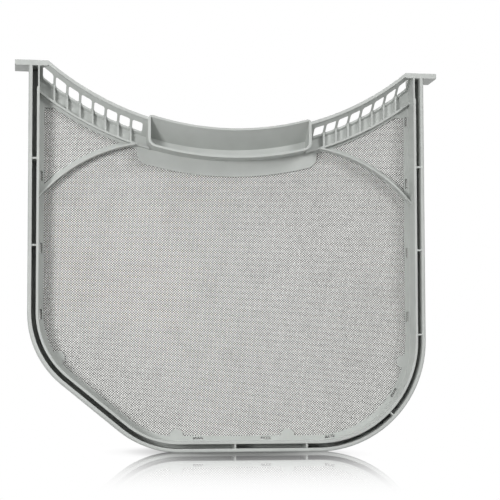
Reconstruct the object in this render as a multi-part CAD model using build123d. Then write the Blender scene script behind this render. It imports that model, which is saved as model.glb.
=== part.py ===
from build123d import *
import math
import os

# Tumble dryer lint filter: a grey moulded frame shot around a woven screen.
# Millimetres, +Z up. The open front of the rim faces -Y, the screen lies towards +Y.
# The origin is under the middle of the filter, on the surface that it stands on.

# Overall
tab_span = 410.0          # across the two side tabs
frame_width = 384.0       # across the outer walls of the rim
height = 370.0            # from the flat bottom to the top of the tabs
depth = 28.0              # front to back

# Lower corners: a slant with large rounds on the left, one large round on the right
slant_rise = 90.9         # height of the slant's upper end, before rounding
slant_run = 111.4         # length of the slant along the bottom, before rounding
slant_round = 88.0
right_round = 106.8

# Rim, from the outside in
outer_wall = 3.5
channel_width = 4.3
inner_wall = 2.4
channel_floor = 3.0       # thickness behind the channel
rim_chamfer = 0.9         # on the outer front edge
channel_relief = 0.9      # the inner wall is thinner by this beside the tabs
relief_height = 20.0

# Border that grips the screen
border_width = 5.0
border_thick = 4.0
border_recess = 4.0       # its rear face, in front of the back of the rim
grip_width = 4.2          # how far the screen reaches into the border
field_drop = 41.0         # top of the bare screen in the upper corners, below the tabs

# Side tabs
tab_thick = 5.0

# Curved grille ledge, concentric about a centre line high above the filter
ledge_radius = 273.0      # front top edge
ledge_dip = 62.7          # middle of the front top edge, below the tabs
lip_height = 3.0          # front edge, measured along the radius
lip_depth = 2.0
roof_drop = 13.7          # fall of the roof from its front edge to the border
roof_thick = 1.8          # measured along the radius
window_gap = 4.3          # from the pocket to the first window
window_width = 9.8
window_bar = 2.33         # bars between the windows
window_front = 6.5        # solid roof in front of the windows
window_sill = 2.5         # solid roof behind the windows
window_corner = 1.2       # cut off each corner of a window
fin_thick = 1.8
fin_proud = 5.0           # fins and shelf, in front of the border
shelf_drop = 24.6         # top of the shelf, below the front top edge
shelf_thick = 2.0
shelf_skirt = 2.6         # border that shows below the shelf

# Finger pocket in the middle of the ledge
pocket_width = 159.2
pocket_wall = 2.8
pocket_lip = 2.3          # front edge along the top
pocket_raise = 3.0        # its front edge, above the ledge
pocket_drop = 16.2        # fall of its roof
pocket_sink = 23.6        # its floor, below the front top edge of the ledge
pocket_floor = 2.2
pocket_round = 9.0
pocket_top_round = 4.0
tongue_drop = 41.0        # lower edge of the plate below the pocket, from the ledge's top edge
tongue_overhang = 8.9     # beyond the pocket, on each side
tongue_round = 12.0

# Arch ribs across the upper corners of the screen, each on a strip that grips it
arch_radius = 152.5       # lower edge
arch_offset = 64.3        # centre of each arc, from the middle
arch_level = 144.0        # centre of each arc, above the bottom
arch_thick = 1.8
arch_proud = 9.0
arch_strip = 5.8          # width of the strip

# Small moulding details
web_thick = 1.6           # webs that tie the two walls of the channel
web_sink = 0.4
web_heights = (195.0, 277.0)
web_low_height = 112.5    # on the right wall only
web_bottom = (4.0, 73.4)
web_corner_angle = -44.5
slit_length = 9.5         # bare marks where the screen was held in the mould
slit_width = 2.2
slit_heights = (131.0, 194.0, 263.0)
slit_top_height = 325.0   # on the right wall only
slit_bottom = (-29.3, 36.8)
slit_corner_angles = (-32.5, -81.0)
pad_radius = 6.5          # round pads on the border
pad_reach = 0.2           # how far their centres stand over the screen
pad_bottom = (-50.0, 58.4)
pad_slant_angle = 215.8
pad_corner_angle = -12.7

# Woven screen: a thin web with upright ridges in front, level ridges behind and a grid of gaps
screen_web = 0.6
ridge_proud = 0.4
ridge_width = 4.0
ridge_pitch = 14.8
gap_size = 10.0
gap_margin = 3.0          # from a gap to the border

# Places worked out from the sizes above
half_width = frame_width / 2
rim_width = outer_wall + channel_width + inner_wall
border_inset = rim_width + border_width
front = -depth / 2
tab_under = height - tab_thick
border_back = depth - border_recess
border_front = border_back - border_thick
screen_mid = (border_front + border_back) / 2
screen_half = screen_web / 2 + ridge_proud
centre_z = height - ledge_dip + ledge_radius
panel_radius = ledge_radius + roof_drop
shelf_radius = ledge_radius + shelf_drop
shelf_under = shelf_radius + shelf_thick
field_radius = shelf_under + shelf_skirt
tongue_radius = ledge_radius + tongue_drop
pocket_half = pocket_width / 2
pocket_inside = pocket_half - pocket_wall
tongue_half = pocket_half + tongue_overhang
window_pitch = window_width + window_bar
gap_pitch = 2 * ridge_pitch   # a gap in every second cell, both ways
window_inner = pocket_half + window_gap
window_count = int((half_width - rim_width - window_inner + window_bar) // window_pitch)
slant_turn = math.atan2(slant_run, slant_rise)
left_centre = (slant_round - half_width, slant_rise + slant_round * math.tan(slant_turn / 2))
right_centre = (half_width - right_round, right_round)
clear = 2 * height        # long enough to reach past the part


def slab(face, start, end):
    """A face drawn in X and Z, made solid between two depths behind the front."""
    upright = Pos(0, front + start, 0) * (Plane.XZ * face)
    return extrude(upright, amount=end - start, dir=(0, 1, 0))


def corner(sketch, x, z):
    return sketch.vertices().sort_by_distance((x, z, 0))[0]


def outline(inset):
    """The frame's outline, open upwards past the tabs, moved inwards by inset."""
    side = half_width
    points = [(-side, clear), (-side, slant_rise), (slant_run - side, 0), (side, 0), (side, clear)]
    shape = make_face(Polyline(*points, close=True))
    shape = fillet(corner(shape, -side, slant_rise), slant_round)
    shape = fillet(corner(shape, slant_run - side, 0), slant_round)
    shape = fillet(corner(shape, side, 0), right_round)
    return offset(shape, amount=-inset) if inset else shape


def below(top):
    """Everything lower than top."""
    return Pos(0, top - clear) * Rectangle(2 * clear, 2 * clear)


def middle(half):
    """A band along the middle of the filter, half to each side."""
    return Rectangle(2 * half, 2 * clear)


def disc(radius):
    return Pos(0, centre_z) * Circle(radius)


def band(inner, outer, half):
    """A curved band along the ledge, between two radii and half to each side of the middle."""
    return (disc(outer) - disc(inner)) & middle(half) & below(centre_z)


def round_ends(shape, edge, half, radius):
    """Rounds the two corners of a curved band that lie on the edge of the given radius."""
    end_z = centre_z - math.sqrt(edge**2 - half**2)
    return fillet([corner(shape, side * half, end_z) for side in (-1, 1)], radius)


def swept(*section):
    """A section of (depth, radius) points, turned about the ledge's centre line."""
    points = [(radius, front + start, centre_z) for start, radius in section]
    face = make_face(Polyline(*points, close=True))
    return revolve(face, Axis((0, 0, centre_z), (0, 1, 0)), 360)


def around(centre, radius, angle):
    """A point on a round corner, with its direction in degrees."""
    turn = math.radians(angle)
    return centre[0] + radius * math.cos(turn), centre[1] + radius * math.sin(turn), angle


def on_left(inset, z):
    return inset - half_width, z, 180.0


def on_right(inset, z):
    return half_width - inset, z, 0.0


def on_bottom(inset, x):
    return x, inset, -90.0


def on_corner(inset, angle):
    return around(right_centre, right_round - inset, angle)


def marks(places, across, along):
    """Small rectangles, across the rim and along it, at each (x, z, direction)."""
    return [Pos(x, z) * Rot(0, 0, turn) * Rectangle(across, along) for x, z, turn in places]


def pads():
    """Round pads on the border, over the screen."""
    inset = border_inset + pad_reach
    places = [on_bottom(inset, x) for x in pad_bottom]
    places.append(around(left_centre, slant_round - inset, pad_slant_angle))
    places.append(on_corner(inset, pad_corner_angle))
    return [Pos(x, z) * Circle(pad_radius) for x, z, turn in places]


def bows(width):
    """Curved bands across the two upper corners, of a width along the radius."""
    shapes = []
    for side in (-1, 1):
        centre = Pos(side * arch_offset, arch_level)
        ring = centre * Circle(arch_radius + width) - centre * Circle(arch_radius)
        shapes.append(ring & centre * Pos(side * clear, clear) * Rectangle(2 * clear, 2 * clear))
    return [shape & outline(rim_width) - disc(shelf_under) for shape in shapes]


def field():
    """The screen's opening in the border, before the pads."""
    tongue = band(shelf_radius, tongue_radius, tongue_half)
    tongue = round_ends(tongue, tongue_radius, tongue_half, tongue_round)
    inside = outline(border_inset) & below(height - field_drop)
    return inside - [disc(field_radius), tongue]


def open_field():
    """The part of the screen that the border, its pads and the strips of the arches leave bare."""
    return field() - [*pads(), *bows(arch_strip)]


def screen_edge():
    return offset(field(), amount=grip_width)


def rim():
    """The U-section rim, with its channel, webs and relief beside the tabs."""
    block = slab(outline(0) & below(tab_under), 0, depth)
    front_edges = block.faces().sort_by(Axis.Y)[0].outer_wire().edges()
    block = chamfer([e for e in front_edges if e.center().Z < tab_under - rim_chamfer], rim_chamfer)
    floor = depth - channel_floor
    inner_face = outer_wall + channel_width
    channel = outline(outer_wall) - outline(inner_face)
    relief = outline(inner_face) - outline(inner_face + channel_relief)
    relief -= below(tab_under - relief_height)
    block -= slab(outline(rim_width), 0, depth)
    block -= slab(channel + relief, 0, floor)
    inset = outer_wall + channel_width / 2
    places = [on_left(inset, z) for z in web_heights]
    places += [on_right(inset, z) for z in (web_low_height, *web_heights)]
    places += [on_bottom(inset, x) for x in web_bottom]
    places.append(on_corner(inset, web_corner_angle))
    return block + [slab(web, web_sink, floor) for web in marks(places, channel_width, web_thick)]


def border():
    """The plate behind the rim that grips the screen, with its slits."""
    inset = rim_width + border_width / 2
    places = [on_left(inset, z) for z in slit_heights]
    places += [on_right(inset, z) for z in (*slit_heights, slit_top_height)]
    places += [on_bottom(inset, x) for x in slit_bottom]
    places += [on_corner(inset, angle) for angle in slit_corner_angles]
    plate = outline(rim_width) & below(tab_under)
    plate -= [disc(panel_radius), open_field(), *marks(places, slit_width, slit_length)]
    return slab(plate, border_front, border_back)


def ledge():
    """The sloped roof with its front lip and windows, and the fins and shelf below them."""
    end = border_front
    under = panel_radius + roof_thick
    roof = swept((0, ledge_radius), (end, panel_radius), (end, under), (0, ledge_radius + roof_thick))
    lip = slab(disc(ledge_radius + lip_height) - disc(ledge_radius), 0, lip_depth)
    sides = outline(rim_width) - middle(pocket_inside)
    roof = roof + (lip - swept((0, ledge_radius), (end, panel_radius), (end, 0), (0, 0)))
    roof = roof & slab(sides & below(height), 0, depth)
    window_depth = border_front - window_front - window_sill
    hole = chamfer(Rectangle(window_width, window_depth).vertices(), window_corner)
    cut_y = front + window_front + window_depth / 2
    firsts = [side * (window_inner + window_width / 2) for side in (-1, 1)]
    steps = [math.copysign(window_pitch, x) for x in firsts]
    spots = [x + step * n for x, step in zip(firsts, steps) for n in range(window_count)]
    roof -= [extrude(Pos(x, cut_y, 0) * hole, amount=height) for x in spots]
    fins = [x + step * (n + 0.5) for x, step in zip(firsts, steps) for n in range(window_count - 1)]
    bars = disc(shelf_under) - disc(shelf_radius)
    bars += [Pos(x, 0) * middle(fin_thick / 2) & (disc(shelf_under) - disc(ledge_radius)) for x in fins]
    bars = bars & sides & below(tab_under)
    room = swept((0, ledge_radius + roof_thick), (end, under), (end, shelf_under), (0, shelf_under))
    return roof + (slab(bars, end - fin_proud, end) & room)


def pocket():
    """The finger pocket: side walls, floor and a sloped roof, open to the front."""
    end = border_front
    top = ledge_radius - pocket_raise
    back = top + pocket_drop
    floor = ledge_radius + pocket_sink
    under = floor + pocket_floor
    outer = round_ends(band(top, under, pocket_half), under, pocket_half, pocket_round)
    outer = round_ends(outer, top, pocket_half, pocket_top_round)
    inner = band(top + pocket_lip, floor, pocket_inside)
    inner = round_ends(inner, floor, pocket_inside, pocket_round - pocket_wall)
    roof = swept((0, top), (end, back), (end, back + roof_thick), (0, top + roof_thick))
    above = swept((0, top), (end, back), (end, 0), (0, 0))
    rim_lip = slab(outer - inner, 0, lip_depth)
    walls = slab(outer - inner - band(top, top + pocket_lip, pocket_inside), 0, end)
    return rim_lip + walls - above + (roof & slab(outer, 0, end))


def tabs():
    """The two plates that hang the filter in its slot, each with a strip along the front to the ledge."""
    ledge_end = math.sqrt(ledge_radius**2 - (ledge_radius - ledge_dip) ** 2)
    row = below(height) - below(tab_under)
    plate = (row & middle(tab_span / 2)) - middle(half_width - rim_width)
    strip = (row & middle(half_width)) - middle(ledge_end)
    return [slab(plate, 0, depth), slab(strip, 0, window_front)]


def arches():
    """The thin ribs that bow across the two upper corners, in front of their strips."""
    return [slab(rib, border_front - arch_proud, border_front) for rib in bows(arch_thick)]


def filter_frame():
    frame = rim() + border() + ledge() + pocket() + tabs() + arches()
    return frame - slab(screen_edge(), screen_mid - screen_half, screen_mid + screen_half)


def mesh_screen():
    """The screen, with its ridges crossing the whole sheet and its gaps inside the border."""
    sheet = screen_edge()
    bare = offset(field(), amount=-gap_margin) - [*pads(), *bows(arch_strip)]
    half_cell = ridge_pitch / 2
    ridges = range(-int(height // ridge_pitch), int(height // ridge_pitch))
    upright = [Pos(ridge_pitch * n + half_cell, 0) * middle(ridge_width / 2) for n in ridges]
    level = [Pos(0, ridge_pitch * n + half_cell) * Rectangle(2 * clear, ridge_width) for n in ridges]
    cells = range(-int(height // gap_pitch), int(height // gap_pitch))
    gaps = [
        Pos(gap_pitch * column + ridge_pitch, gap_pitch * row) * Rectangle(gap_size, gap_size)
        for column in cells
        for row in cells
    ]
    gaps = [gap for gap in gaps if (gap - bare).area < gap.area / 100]
    web = slab(sheet - gaps, screen_mid - screen_web / 2, screen_mid + screen_web / 2)
    fore = slab(Sketch() + upright & sheet, screen_mid - screen_half, screen_mid - screen_web / 2)
    rear = slab(Sketch() + level & sheet, screen_mid + screen_web / 2, screen_mid + screen_half)
    return web + fore + rear


os.makedirs("parts", exist_ok=True)
for make in (filter_frame, mesh_screen):
    export_step(make(), f"parts/{make.__name__}.step")
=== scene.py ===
import math

import bmesh
import bpy
from mathutils import Matrix, Quaternion, Vector


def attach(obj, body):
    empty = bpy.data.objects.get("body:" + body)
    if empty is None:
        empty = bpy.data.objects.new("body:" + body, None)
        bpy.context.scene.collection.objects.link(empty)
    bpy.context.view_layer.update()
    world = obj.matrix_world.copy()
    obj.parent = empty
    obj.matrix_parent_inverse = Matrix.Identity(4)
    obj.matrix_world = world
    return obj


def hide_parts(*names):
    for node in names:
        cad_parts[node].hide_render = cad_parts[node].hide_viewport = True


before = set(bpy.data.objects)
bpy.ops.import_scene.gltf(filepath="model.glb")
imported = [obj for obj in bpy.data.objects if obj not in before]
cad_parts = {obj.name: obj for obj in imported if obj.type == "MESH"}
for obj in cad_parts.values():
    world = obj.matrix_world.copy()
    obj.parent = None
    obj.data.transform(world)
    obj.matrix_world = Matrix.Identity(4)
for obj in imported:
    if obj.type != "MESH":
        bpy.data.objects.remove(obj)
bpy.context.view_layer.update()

# Tumble dryer lint filter, dressed: satin grey moulding and a real woven screen.
# Metres, in the part's own frame: the open front faces -Y, the screen lies towards +Y.

# The frame's outline and the screen's opening in it, as the moulding has them
half_width = 0.192
slant_rise, slant_run, slant_round = 0.0909, 0.1114, 0.088
right_round = 0.1068
border_inset = 0.0152
field_top = 0.329
ledge_centre = 0.5803
field_radius = 0.3022
tongue_radius, tongue_half = 0.314, 0.0885
screen_y = 0.008

# The weave: warp threads stand upright, weft threads lie level
warp_pitch, weft_pitch = 0.00128, 0.00118
warp_radius, weft_radius = 0.00074, 0.00060
warp_sides, weft_sides = 4, 6
flatness = 0.38           # depth of a thread for its width
crimp = 0.00025           # how far a warp thread swings to each side of the weft
weave_turn = math.radians(1.2)
weave_middle = Vector((0.0, screen_y, 0.17))
grip = 0.0038             # how far the threads reach into the border
columns, rows = 144, 142  # threads to each side of the middle
strips = 6                # pieces that the warp is made in

# Colours, from the darkest to the lightest that the material varies over
frame_grey = (0.458, 0.476, 0.458), (0.510, 0.530, 0.510)
# Painted light and shade on the screen: the upright threads are painted pale as if lit, the level
# threads dark as if shaded.
warp_lit_paint = (0.82, 0.82, 0.80), (0.92, 0.92, 0.895)
weft_shade_paint = (0.022, 0.022, 0.022), (0.045, 0.045, 0.045)

# The table. It is polished in an oval round the filter's foot, and the other distances
# are shares of that oval's reach across and towards the camera.
oval_reach = 0.30, 0.50
oval_shift = 0.018
polish, polish_end = 1.65, 1.2
white_start, white_end = 0.20, 0.44
table_white, table_lift, table_bounce = 0.82, 0.15, 0.42
# Painted contact shadow: the reflection is darkened near the foot.
painted_contact_shadow = (0.16, 0.28), (0.36, 0.70)  # distance and brightness
# Painted shadow: a glow added to the reflection, dimmer near the foot, stands in for the lit
# table.
painted_shadow_glow = (0.12, 0.07), (0.42, 0.30)
table_half = 6.0

# The studio: each lamp's place, diameter and power
lamps = {
    "key": ((-1.25, -1.65, 0.3), 0.5, 23.5),
    "fill": ((1.2, -1.6, 1.4), 0.8, 18.0),
    "top": ((0.0, -0.2, 1.8), 1.2, 17.0),
    "back": ((0.6, 1.9, 1.0), 1.2, 28.0),
}
lamp_aim = 0.0, 0.0, 0.2
room_light = 0.18

# The photograph's camera
camera_place = -0.1988, -1.3416, 0.055
camera_yaw, camera_pitch, camera_roll = 9.288, 3.388, -0.148
camera_sensor, camera_lens, camera_shift = 36.0, 101.51, 0.1214
camera_near = 0.05


# Shaders

def node_adder(tree):
    """Empties a node tree and returns the function that adds nodes to it."""
    tree.nodes.clear()

    def add(kind, inputs=(), **settings):
        node = tree.nodes.new(kind)
        for key, value in settings.items():
            setattr(node, key, value)
        for key, value in dict(inputs).items():
            if isinstance(value, bpy.types.NodeSocket):
                tree.links.new(value, node.inputs[key])
            else:
                node.inputs[key].default_value = value
        return node

    return add


def new_material(name):
    material = bpy.data.materials.new(name)
    material.use_nodes = True
    return material, node_adder(material.node_tree)


def ramp(add, factor, *stops):
    """Two colours and a blend between them, at two values of the factor."""
    node = add("ShaderNodeValToRGB", {"Fac": factor})
    for stop, (value, colour) in zip(node.color_ramp.elements, stops):
        stop.position = value
        stop.color = (*colour, 1.0)
    return node.outputs["Color"]


def grey(level):
    return level, level, level


def noise(add, place, scale, detail, roughness):
    return add("ShaderNodeTexNoise", {
        "Vector": place, "Scale": scale, "Detail": detail, "Roughness": roughness}).outputs["Fac"]


def shown_white(add):
    """1 for the rays that show the studio as plain white, 0 for those that carry its light."""
    rays = add("ShaderNodeLightPath").outputs
    shown = rays["Is Camera Ray"]
    for kind in ("Is Glossy Ray", "Is Transmission Ray"):
        shown = add("ShaderNodeMath", {0: shown, 1: rays[kind]}, operation="MAXIMUM")
        shown = shown.outputs["Value"]
    return shown


def moulded_grey():
    """Satin polypropylene: slight cloudiness, fine spark-eroded grain and soft moulded edges."""
    material, add = new_material("moulded_grey")
    place = add("ShaderNodeTexCoord").outputs["Object"]
    cloud = noise(add, place, scale=38.0, detail=4.0, roughness=0.6)
    grain = noise(add, place, scale=2600.0, detail=2.0, roughness=0.6)
    colour = ramp(add, cloud, (0.30, frame_grey[0]), (0.72, frame_grey[1]))
    rough = add("ShaderNodeMapRange", {"Value": cloud, "To Min": 0.38, "To Max": 0.52})
    edge = add("ShaderNodeBevel", {"Radius": 0.0006}, samples=6)
    bump = add("ShaderNodeBump", {
        "Height": grain, "Strength": 0.12, "Distance": 0.0001, "Normal": edge.outputs["Normal"]})
    skin = add("ShaderNodeBsdfPrincipled", {
        "Base Color": colour, "Roughness": rough.outputs["Result"],
        "Normal": bump.outputs["Normal"], "IOR": 1.49})
    add("ShaderNodeOutputMaterial", {"Surface": skin.outputs["BSDF"]})
    return material


def drawn_thread(name, colours):
    """Monofilament: thread to thread variation and a smooth, slightly waxy surface."""
    material, add = new_material(name)
    place = add("ShaderNodeTexCoord").outputs["Object"]
    cloud = noise(add, place, scale=55.0, detail=3.0, roughness=0.6)
    speck = noise(add, place, scale=900.0, detail=2.0, roughness=0.5)
    mixed = add("ShaderNodeMath", {0: cloud, 1: speck}, operation="ADD")
    colour = ramp(add, mixed.outputs["Value"], (0.70, colours[0]), (1.0, colours[1]))
    rough = add("ShaderNodeMapRange", {"Value": speck, "To Min": 0.34, "To Max": 0.50})
    skin = add("ShaderNodeBsdfPrincipled", {
        "Base Color": colour, "Roughness": rough.outputs["Result"], "IOR": 1.53})
    add("ShaderNodeOutputMaterial", {"Surface": skin.outputs["BSDF"]})
    return material


def white_table():
    """Glossy white table: keeps the shadow, mirrors the filter with painted shade near the foot,
    turns plain white further off.
    """
    material, add = new_material("white_table")
    place = add("ShaderNodeTexCoord").outputs["Object"]
    oval = add("ShaderNodeMapping", {
        "Vector": place, "Location": (-oval_shift, 0.0, 0.0),
        "Scale": (1.0 / oval_reach[0], 1.0 / oval_reach[1], 1.0)}, vector_type="POINT")
    far = add("ShaderNodeVectorMath", {0: oval.outputs["Vector"]}, operation="LENGTH")
    far = far.outputs["Value"]

    # Lit near the foot, plain white away from it
    top = add("ShaderNodeBsdfDiffuse", {"Color": (*grey(table_white), 1.0)})
    lift = add("ShaderNodeEmission", {"Strength": table_lift})
    lit = add("ShaderNodeAddShader", {0: top.outputs["BSDF"], 1: lift.outputs["Emission"]})
    plain = add("ShaderNodeEmission", {"Strength": 1.0})
    away = add("ShaderNodeMapRange", {
        "Value": far, "From Min": white_start, "From Max": white_end},
        interpolation_type="SMOOTHSTEP")
    table = add("ShaderNodeMixShader", {
        0: away.outputs["Result"], 1: lit.outputs["Shader"], 2: plain.outputs["Emission"]})

    # The polish, strongest at a low angle. Near the foot its reflection is darkened as a painted
    # contact shadow.
    contact_shadow_paint = ramp(add, far, *((share, grey(level)) for share, level in painted_contact_shadow))
    # Painted light and shadow: an emitted glow stands in for the lit table and is dimmer near the
    # foot.
    shadow_glow_level = ramp(add, far, *((share, grey(level)) for share, level in painted_shadow_glow))
    mirror = add("ShaderNodeBsdfGlossy", {"Roughness": 0.01, "Color": contact_shadow_paint})
    painted_glow = add("ShaderNodeEmission", {"Color": shadow_glow_level, "Strength": 1.0})
    mirrored = add("ShaderNodeAddShader", {0: mirror.outputs["BSDF"], 1: painted_glow.outputs["Emission"]})
    near = add("ShaderNodeMapRange", {
        "Value": far, "From Min": 0.0, "From Max": polish_end, "To Min": polish, "To Max": 0.0},
        interpolation_type="SMOOTHSTEP")
    sheen = add("ShaderNodeFresnel", {"IOR": 1.5})
    gloss = add("ShaderNodeMath", {0: near.outputs["Result"], 1: sheen.outputs["Fac"]},
                operation="MULTIPLY", use_clamp=True)
    polished = add("ShaderNodeMixShader", {
        0: gloss.outputs["Value"], 1: table.outputs["Shader"], 2: mirrored.outputs["Shader"]})

    # What the table throws back onto the filter
    matt = add("ShaderNodeBsdfDiffuse", {"Color": (*grey(table_bounce), 1.0)})
    both = add("ShaderNodeMixShader", {
        0: shown_white(add), 1: matt.outputs["BSDF"], 2: polished.outputs["Shader"]})
    add("ShaderNodeOutputMaterial", {"Surface": both.outputs["Shader"]})
    return material


# Pieces

def finish_piece(name, bm, material):
    mesh = bpy.data.meshes.new(name)
    bm.to_mesh(mesh)
    bm.free()
    mesh.shade_smooth()
    mesh.materials.append(material)
    piece = bpy.data.objects.new(name, mesh)
    bpy.context.scene.collection.objects.link(piece)
    return piece


def held(x, z):
    """True where the screen is bare or held in the border, False beyond its edge."""
    inset = border_inset - grip
    if abs(x) > half_width - inset or z < inset or z > field_top + grip:
        return False
    slope = math.hypot(slant_run, slant_rise)
    along = Vector((slant_run, -slant_rise)) / slope
    if (x + half_width) * slant_rise + z * slant_run - slant_rise * slant_run < inset * slope:
        return False
    upper_turn = math.atan2(slant_run, slant_rise)
    lower_turn = math.pi / 2 - upper_turn
    upper = (slant_round - half_width, slant_rise + slant_round * math.tan(upper_turn / 2))
    lower = (slant_run - half_width + slant_round * math.tan(lower_turn / 2), slant_round)
    right = (half_width - right_round, right_round)
    corners = (
        (upper, Vector((0, -1)), -along, slant_round),
        (lower, along, Vector((-1, 0)), slant_round),
        (right, Vector((0, -1)), Vector((1, 0)), right_round),
    )
    for centre, one, other, radius in corners:
        arm = Vector((x - centre[0], z - centre[1]))
        if arm.dot(one) > 0 and arm.dot(other) > 0 and arm.length > radius - inset:
            return False
    drop = math.hypot(x, z - ledge_centre)
    under_tongue = abs(x) < tongue_half - grip and drop < tongue_radius - grip
    return drop > field_radius - grip and not under_tongue


def woven_place(column, row):
    """Where a crossing of the weave lies on the filter."""
    flat = Vector((column * warp_pitch, 0.0, row * weft_pitch))
    return weave_middle + Matrix.Rotation(-weave_turn, 3, "Y") @ flat


def draw_thread(bm, spot, sides, radius, run, steps):
    """A flattened ring at the spot, drawn along its run."""
    ring = bmesh.ops.create_circle(bm, segments=sides, radius=radius, matrix=spot)["verts"]
    edges = list(dict.fromkeys(edge for vert in ring for edge in vert.link_edges))
    bmesh.ops.spin(bm, geom=ring + edges, axis=(0, 0, 1), dvec=run, steps=steps)


def close_ends(bm):
    open_edges = [edge for edge in bm.edges if edge.is_boundary]
    bmesh.ops.holes_fill(bm, edges=open_edges, sides=max(warp_sides, weft_sides))
    bmesh.ops.recalc_face_normals(bm, faces=bm.faces)


def warp_pair():
    """Two neighbouring upright threads, crimped over and under the level ones in turn."""
    flatten = Matrix.Diagonal((1.0, flatness, 1.0, 1.0)) @ Matrix.Rotation(math.pi / 4, 4, "Z")
    pair = bmesh.new()
    for column in (0, 1):
        spot = Matrix.Translation((column * warp_pitch, 0.0, -rows * weft_pitch)) @ flatten
        draw_thread(pair, spot, warp_sides, warp_radius, (0, 0, weft_pitch), 2 * rows)
    for vert in pair.verts:
        crossing = round(vert.co.x / warp_pitch) + round(vert.co.z / weft_pitch)
        vert.co.y += crimp if crossing % 2 else -crimp
    mesh = bpy.data.meshes.new("warp_pair")
    pair.to_mesh(mesh)
    pair.free()
    return mesh


def warp_strip(first, last):
    """The upright threads of one strip, cut to the screen's edge."""
    mesh = warp_pair()
    loom = bpy.data.objects.new("warp_pair", mesh)
    bpy.context.scene.collection.objects.link(loom)
    beam = loom.modifiers.new("beam", "ARRAY")
    beam.count = (last - first) // 2
    beam.use_relative_offset = False
    beam.use_constant_offset = True
    beam.constant_offset_displace = (2 * warp_pitch, 0.0, 0.0)
    strung = loom.evaluated_get(bpy.context.evaluated_depsgraph_get())
    cloth = bpy.data.meshes.new_from_object(strung)
    bm = bmesh.new()
    bm.from_mesh(cloth)
    bpy.data.objects.remove(loom)
    bpy.data.meshes.remove(mesh)
    bpy.data.meshes.remove(cloth)
    crossings = {}
    outside = []
    for vert in bm.verts:
        key = (round(vert.co.x / warp_pitch) + first, round(vert.co.z / weft_pitch))
        if key not in crossings:
            crossings[key] = held(*woven_place(*key).xz)
        if not crossings[key]:
            outside.append(vert)
    bmesh.ops.delete(bm, geom=outside, context="VERTS")
    bmesh.ops.translate(bm, verts=bm.verts, vec=(first * warp_pitch, 0.0, 0.0))
    turn = Matrix.Rotation(-weave_turn, 3, "Y")
    bmesh.ops.rotate(bm, verts=bm.verts, cent=(0, 0, 0), matrix=turn)
    bmesh.ops.translate(bm, verts=bm.verts, vec=weave_middle)
    close_ends(bm)
    return bm


def weft_threads():
    """Level threads, straight, each along its run across the filter."""
    turn = Matrix.Rotation(-weave_turn, 4, "Y") @ Matrix.Rotation(math.pi / 2, 4, "Y")
    turn = turn @ Matrix.Diagonal((1.0, flatness, 1.0, 1.0))
    across = range(-columns, columns + 1)
    bm = bmesh.new()
    for row in range(-rows, rows + 1):
        start = None
        for column in (*across, columns + 1):
            here = column in across and held(*woven_place(column, row).xz)
            if here and start is None:
                start = column
            if not here and start is not None:
                ends = woven_place(start, row), woven_place(column - 1, row)
                spot = Matrix.Translation(ends[0]) @ turn
                draw_thread(bm, spot, weft_sides, weft_radius, ends[1] - ends[0], 1)
                start = None
    close_ends(bm)
    return bm


def woven_screen():
    """The screen: upright threads in strips, painted pale as if lit, and one set of level threads
    painted dark as if shaded.
    """
    # Painted light and shade: pale paint on the upright threads stands in for their light, dark
    # paint on the level threads for their shade.
    painted_lit_thread = drawn_thread("warp_thread_painted_lit", warp_lit_paint)
    painted_shade_thread = drawn_thread("weft_thread_painted_shade", weft_shade_paint)
    step = 2 * columns // strips
    pieces = []
    for n in range(strips):
        first = -columns + n * step
        pieces.append(finish_piece(f"screen_warp_{n + 1}", warp_strip(first, first + step), painted_lit_thread))
    pieces.append(finish_piece("screen_weft", weft_threads(), painted_shade_thread))
    for piece in pieces:
        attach(piece, "root")
        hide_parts("mesh_screen")


def table_top():
    bm = bmesh.new()
    bmesh.ops.create_grid(bm, x_segments=1, y_segments=1, size=table_half)
    top = finish_piece("table_top", bm, white_table())


# Light and camera

def soft_light(name, place, size, power):
    light = bpy.data.lights.new(name, "AREA")
    light.shape = "DISK"
    light.size = size
    light.energy = power
    lamp = bpy.data.objects.new(name, light)
    bpy.context.scene.collection.objects.link(lamp)
    lamp.location = place
    aim = Vector(lamp_aim) - Vector(place)
    lamp.rotation_euler = aim.to_track_quat("-Z", "Y").to_euler()


def studio():
    """Soft lamps in a dim white room that shows as plain white."""
    world = bpy.data.worlds.new("studio")
    world.use_nodes = True
    add = node_adder(world.node_tree)
    white = (*grey(1.0), 1.0)
    soft = add("ShaderNodeBackground", {"Color": white, "Strength": room_light})
    plain = add("ShaderNodeBackground", {"Color": white, "Strength": 1.0})
    room = add("ShaderNodeMixShader", {
        0: shown_white(add), 1: soft.outputs["Background"], 2: plain.outputs["Background"]})
    add("ShaderNodeOutputWorld", {"Surface": room.outputs["Shader"]})
    bpy.context.scene.world = world
    for name, (place, size, power) in lamps.items():
        soft_light(name, place, size, power)


def photo_camera():
    """Low in front of the filter and a little to its left, as in the photograph."""
    yaw, pitch = math.radians(camera_yaw), math.radians(camera_pitch)
    level = math.cos(pitch)
    sight = Vector((math.sin(yaw) * level, math.cos(yaw) * level, math.sin(pitch)))
    roll = Quaternion((0.0, 0.0, 1.0), math.radians(camera_roll))
    data = bpy.data.cameras.new("camera")
    data.sensor_width = camera_sensor
    data.lens = camera_lens
    data.shift_y = camera_shift
    data.clip_start = camera_near
    camera = bpy.data.objects.new("camera", data)
    bpy.context.scene.collection.objects.link(camera)
    camera.location = camera_place
    camera.rotation_euler = (sight.to_track_quat("-Z", "Y") @ roll).to_euler()
    bpy.context.scene.camera = camera


bpy.context.scene.view_settings.view_transform = "Standard"
photo_camera()
studio()
table_top()
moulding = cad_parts["filter_frame"]
moulding.data.materials.clear()
moulding.data.materials.append(moulded_grey())
woven_screen()
